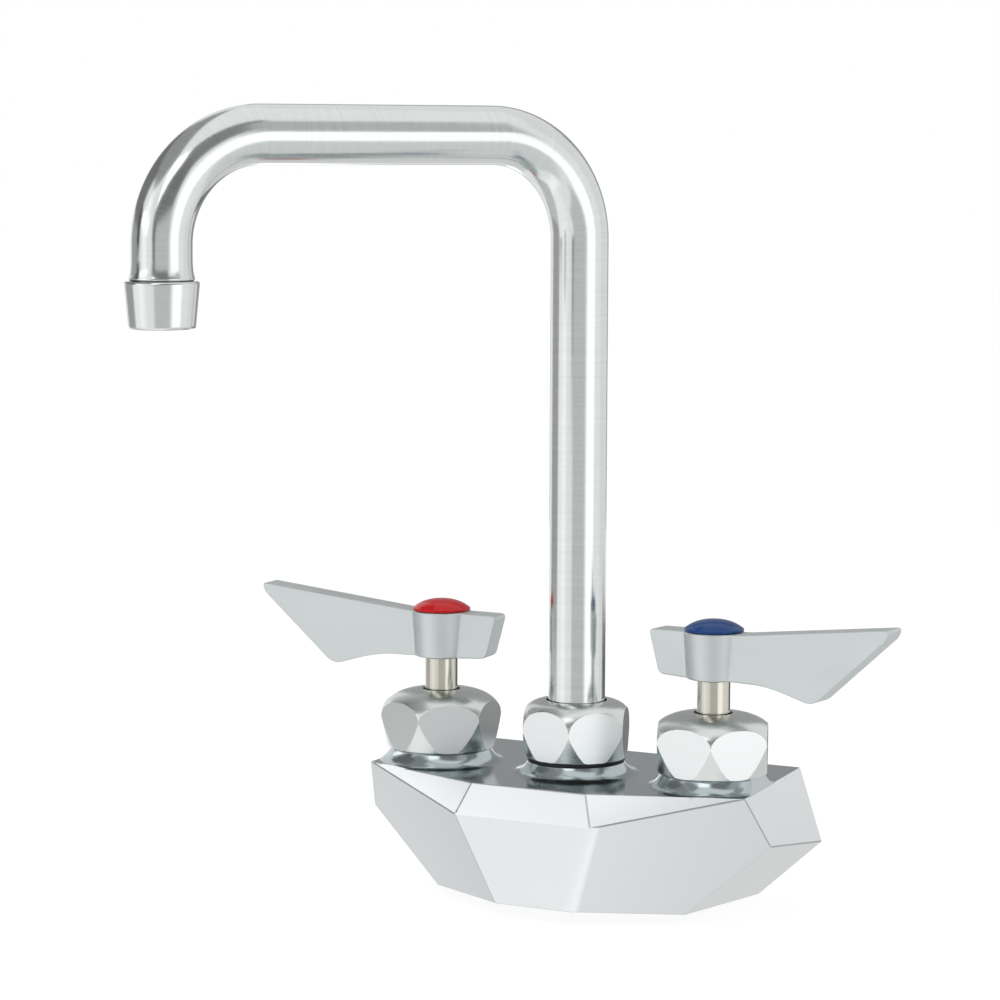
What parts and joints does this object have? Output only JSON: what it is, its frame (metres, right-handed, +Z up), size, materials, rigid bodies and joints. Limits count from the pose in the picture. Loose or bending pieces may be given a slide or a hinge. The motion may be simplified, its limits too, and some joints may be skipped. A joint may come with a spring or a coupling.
{
  "type": "commercial wall faucet",
  "caption": "Wall-mounted commercial faucet with a faceted satin body, wing levers with red and blue buttons, and a swivelling bent-tube spout with an aerator",
  "frame": {"origin": "On the wall face of the body, midway between the two inlets and level with their axes", "axes": "+X runs right along the wall, +Y points into the wall, +Z is up"},
  "size_m": [0.2339, 0.1858, 0.2669],
  "materials": {
    "cast_steel": "satin, brushed by hand on each facet",
    "brushed_steel": "fine turned and brushed",
    "satin_silver": "matte satin casting",
    "nickel": "polished",
    "brass": "turned",
    "black_rubber": "moulded",
    "ceramic": "lapped ceramic",
    "nylon": "moulded",
    "hot_red": "glossy dome",
    "cold_blue": "glossy dome"
  },
  "bodies": {
    "faucet_body": {"body": "cast_steel", "spout_nut": "brushed_steel", "spout_nut_gasket": "black_rubber", "spout_thrust_washer": "nylon", "hot_bonnet_nut": "brushed_steel", "hot_cartridge_body": "brass", "hot_seat_seal": "black_rubber", "hot_fixed_disc": "ceramic", "cold_bonnet_nut": "brushed_steel", "cold_cartridge_body": "brass", "cold_seat_seal": "black_rubber", "cold_fixed_disc": "ceramic"},
    "spout": {"spout_tube": "brushed_steel", "spout_sleeve": "brass", "spout_lower_ring": "black_rubber", "spout_upper_ring": "black_rubber", "outlet_ferrule": "brushed_steel", "aerator_housing": "brushed_steel", "aerator_insert": "nylon", "aerator_washer": "black_rubber"},
    "hot_handle": {"hot_turning_disc": "ceramic", "hot_stem": "nickel", "hot_stem_clip": "nickel", "hot_stem_ring": "black_rubber", "hot_lever": "satin_silver", "hot_handle_screw": "nickel", "hot_index_button": "hot_red"},
    "cold_handle": {"cold_turning_disc": "ceramic", "cold_stem": "nickel", "cold_stem_clip": "nickel", "cold_stem_ring": "black_rubber", "cold_lever": "satin_silver", "cold_handle_screw": "nickel", "cold_index_button": "cold_blue"}
  },
  "joints": [
    {"name": "hot_valve", "type": "hinge", "parent": "faucet_body", "child": "hot_handle", "pos_m": [-0.0508, -0.045, 0.05], "axis": [0, 0, 1], "range_deg": [0, 90]},
    {"name": "cold_valve", "type": "hinge", "parent": "faucet_body", "child": "cold_handle", "pos_m": [0.0508, -0.045, 0.05], "axis": [0, 0, 1], "range_deg": [-90, 0]},
    {"name": "spout_swivel", "type": "hinge", "parent": "faucet_body", "child": "spout", "pos_m": [0, -0.0435, 0.05], "axis": [0, 0, 1], "range_deg": [-59, 121]}
  ]
}
